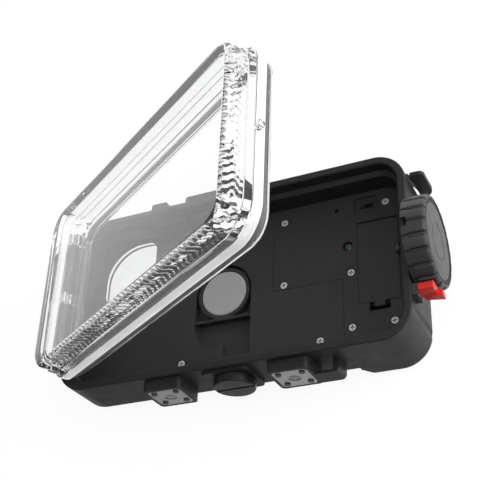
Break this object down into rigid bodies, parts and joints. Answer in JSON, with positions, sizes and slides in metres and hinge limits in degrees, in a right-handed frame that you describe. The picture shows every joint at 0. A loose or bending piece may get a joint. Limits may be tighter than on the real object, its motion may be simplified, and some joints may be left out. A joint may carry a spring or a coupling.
{
  "type": "waterproof phone case",
  "caption": "Hard waterproof phone case with a hinged clear back cover, a rotary latch, a sprung shutter lever and screw mounts on one side.",
  "frame": {"origin": "middle of the flat front face of the main body", "axes": "+X along the case from the cover's hinge to the latch knob, +Y across it away from the two screw mounts, +Z out of the open back"},
  "size_m": [0.2158, 0.1215, 0.157],
  "materials": {
    "shell_black": "fine matte moulding grain",
    "inner_black": "fine matte moulding grain",
    "part_black": "satin",
    "knob_black": "satin",
    "lever_black": "satin",
    "knob_grey": "satin",
    "capsule_grey": "matte",
    "lock_red": "satin",
    "clear_plastic": "polished clear",
    "port_glass": "polished clear",
    "seal_grey": "soft matte",
    "seal_black": "soft matte",
    "plate_steel": "fine brushed",
    "insert_steel": "machined",
    "screw_steel": "plain",
    "screw_dark": "blackened",
    "contact_steel": "plain",
    "board_green": "solder mask",
    "led_clear": "milky",
    "cell_wrap": "plain wrap"
  },
  "bodies": {
    "shell": {"front_shell": "shell_black", "camera_window": "port_glass", "window_gasket": "seal_black", "window_retainer": "inner_black", "inner_chassis": "inner_black", "electronics_cover": "inner_black", "chassis_screws": "screw_steel", "capsule_retainer": "inner_black", "desiccant_capsule": "capsule_grey", "circuit_board": "board_green", "status_led": "led_clear", "reset_switch": "part_black", "shutter_switch": "part_black", "power_switch": "part_black", "battery_tray": "inner_black", "battery_cell_left": "cell_wrap", "battery_cell_right": "cell_wrap", "battery_contacts": "contact_steel", "plug_seal": "seal_black", "mount_plate_left": "plate_steel", "mount_plate_right": "plate_steel", "thread_insert_left": "insert_steel", "thread_insert_right": "insert_steel", "mount_screws": "screw_dark", "hinge_pin": "contact_steel", "shaft_seal": "seal_black", "lock_housing": "knob_black", "lock_spring": "contact_steel", "lever_pin": "contact_steel", "plunger_seal": "seal_black", "plunger_spring": "contact_steel"},
    "cover": {"clear_cover": "clear_plastic", "cover_seal": "seal_grey"},
    "knob": {"knob": "knob_black", "knob_face": "knob_grey", "latch_cam": "knob_black", "knob_shaft": "contact_steel", "shaft_clip": "contact_steel"},
    "lock": {"lock_lever": "lock_red"},
    "lever": {"shutter_lever": "lever_black"},
    "plunger": {"shutter_plunger": "contact_steel"},
    "door": {"battery_door": "inner_black"},
    "slider": {"power_slider": "part_black"},
    "plug": {"vacuum_plug": "part_black"}
  },
  "joints": [
    {"name": "cover_hinge", "type": "hinge", "parent": "shell", "child": "cover", "pos_m": [-0.0997, 0, 0.0329], "axis": [0, -1, 0], "range_deg": [-31.8, 78.2]},
    {"name": "knob_turn", "type": "hinge", "parent": "shell", "child": "knob", "pos_m": [0.1031, 0, 0.02], "axis": [1, 0, 0], "range_deg": [0, 100]},
    {"name": "lock_slide", "type": "slide", "parent": "shell", "child": "lock", "axis": [0, -1, 0], "range_m": [0, 0.0012], "stiffness_N_per_m": 300, "springref_m": -0.001},
    {"name": "shutter_lever_turn", "type": "hinge", "parent": "shell", "child": "lever", "pos_m": [0.076, 0.0581, 0.004], "axis": [0, 0, -1], "range_deg": [0, 2.5]},
    {"name": "plunger_slide", "type": "slide", "parent": "shell", "child": "plunger", "axis": [0, -1, 0], "range_m": [0, 0.00052], "stiffness_N_per_m": 30, "springref_m": -0.001},
    {"name": "battery_door_tilt", "type": "hinge", "parent": "shell", "child": "door", "pos_m": [0.0778, 0.0259, 0.0082], "axis": [-1, 0, 0], "range_deg": [0, 75]},
    {"name": "power_slide", "type": "slide", "parent": "shell", "child": "slider", "axis": [1, 0, 0], "range_m": [0, 0.0034]},
    {"name": "plug_turn", "type": "hinge", "parent": "shell", "child": "plug", "pos_m": [0.001, -0.0541, 0.0142], "axis": [0, -1, 0], "continuous": true}
  ],
  "couplings": [
    {"joint": "shutter_lever_turn", "follows": "plunger_slide", "rad_per_m": 83.333}
  ]
}
